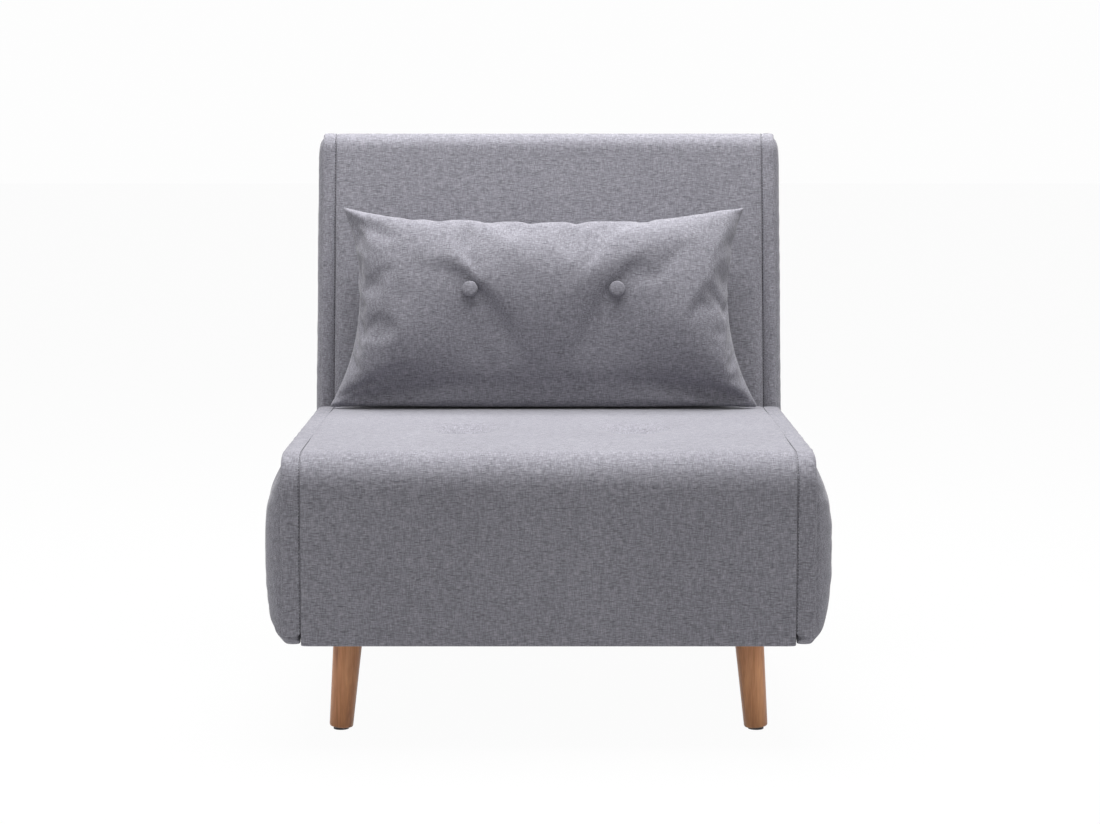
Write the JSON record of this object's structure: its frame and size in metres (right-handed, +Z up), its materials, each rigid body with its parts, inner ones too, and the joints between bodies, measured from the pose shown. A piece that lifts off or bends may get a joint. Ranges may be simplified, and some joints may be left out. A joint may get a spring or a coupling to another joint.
{
  "type": "convertible chair bed",
  "caption": "Armless upholstered chair bed on tapered wooden legs: a tufted seat block, a folded double back that lays flat behind it as a single bed, and a loose buttoned pillow.",
  "frame": {"origin": "on the floor, under the middle of the closed chair's overall box", "axes": "+X to the right of someone facing the chair's front, +Y from front to rear, +Z up"},
  "size_m": [0.78, 0.933, 0.83],
  "materials": {
    "grey_fabric": "heathered flat weave, matt",
    "lining_fabric": "black non-woven",
    "webbing": "elastic webbing",
    "leg_wood": "satin lacquer, warm brown",
    "frame_timber": "planed softwood",
    "black_steel": "black powder coat",
    "bright_steel": "plated",
    "glide_plastic": "matt black"
  },
  "bodies": {
    "seat_unit": {"seat_cushion": "grey_fabric", "seat_gusset_left": "grey_fabric", "seat_gusset_right": "grey_fabric", "seat_flange_left": "grey_fabric", "seat_flange_right": "grey_fabric", "seat_buttons": "grey_fabric", "seat_side_rail_left": "frame_timber", "seat_side_rail_right": "frame_timber", "seat_front_rail": "frame_timber", "seat_rear_rail": "frame_timber", "seat_straps": "webbing", "seat_leg_bearer": "frame_timber", "seat_dust_cover": "lining_fabric", "front_legs": "leg_wood", "front_leg_plates": "black_steel", "front_leg_glides": "glide_plastic", "hinge_arm_left": "black_steel", "hinge_arm_right": "black_steel", "seat_hinge_pins": "bright_steel"},
    "back_panel": {"back_cushion": "grey_fabric", "back_gusset_left": "grey_fabric", "back_gusset_right": "grey_fabric", "back_flange_left": "grey_fabric", "back_flange_right": "grey_fabric", "back_side_tube_left": "black_steel", "back_side_tube_right": "black_steel", "back_cross_tubes": "black_steel", "back_straps": "webbing", "back_hinge_lugs": "black_steel", "back_apex_lugs": "black_steel", "apex_pins": "bright_steel", "middle_leg_lugs": "black_steel", "middle_leg_pins": "bright_steel"},
    "rear_panel": {"rear_cushion": "grey_fabric", "rear_gusset_left": "grey_fabric", "rear_gusset_right": "grey_fabric", "rear_flange_left": "grey_fabric", "rear_flange_right": "grey_fabric", "rear_side_tube_left": "black_steel", "rear_side_tube_right": "black_steel", "rear_cross_tubes": "black_steel", "rear_straps": "webbing", "rear_hinge_lugs": "black_steel", "rear_apex_lugs": "black_steel"},
    "rear_trestle": {"trestle_beam": "frame_timber", "trestle_post_left": "black_steel", "trestle_post_right": "black_steel", "trestle_pins": "bright_steel", "rear_legs": "leg_wood", "rear_leg_plates": "black_steel", "rear_leg_glides": "glide_plastic"},
    "middle_leg": {"middle_leg_post_left": "black_steel", "middle_leg_post_right": "black_steel", "middle_leg_bar": "black_steel", "middle_leg_feet": "glide_plastic"},
    "pillow": {"pillow_cushion": "grey_fabric", "pillow_front_buttons": "grey_fabric", "pillow_back_buttons": "grey_fabric"}
  },
  "joints": [
    {"name": "back_fold", "type": "hinge", "parent": "seat_unit", "child": "back_panel", "pos_m": [0, 0.24027, 0.283], "axis": [-1, 0, 0], "range_deg": [0, 78]},
    {"name": "panel_fold", "type": "hinge", "parent": "back_panel", "child": "rear_panel", "pos_m": [0, 0.35263, 0.81161], "axis": [1, 0, 0], "range_deg": [0, 180]},
    {"name": "trestle_turn", "type": "hinge", "parent": "rear_panel", "child": "rear_trestle", "pos_m": [0, 0.24027, 0.283], "axis": [-1, 0, 0], "range_deg": [0, 102]},
    {"name": "middle_leg_turn", "type": "hinge", "parent": "back_panel", "child": "middle_leg", "pos_m": [0, 0.32759, 0.69382], "axis": [1, 0, 0], "range_deg": [0, 90]},
    {"name": "pillow_lift", "type": "slide", "parent": "seat_unit", "child": "pillow", "axis": [0, -0.7071, 0.7071], "range_m": [0, 0.5]}
  ],
  "couplings": [
    {"joint": "panel_fold", "follows": "back_fold", "ratio": 2.3077},
    {"joint": "trestle_turn", "follows": "back_fold", "ratio": 1.3077},
    {"joint": "middle_leg_turn", "follows": "back_fold", "ratio": 1.1538}
  ]
}
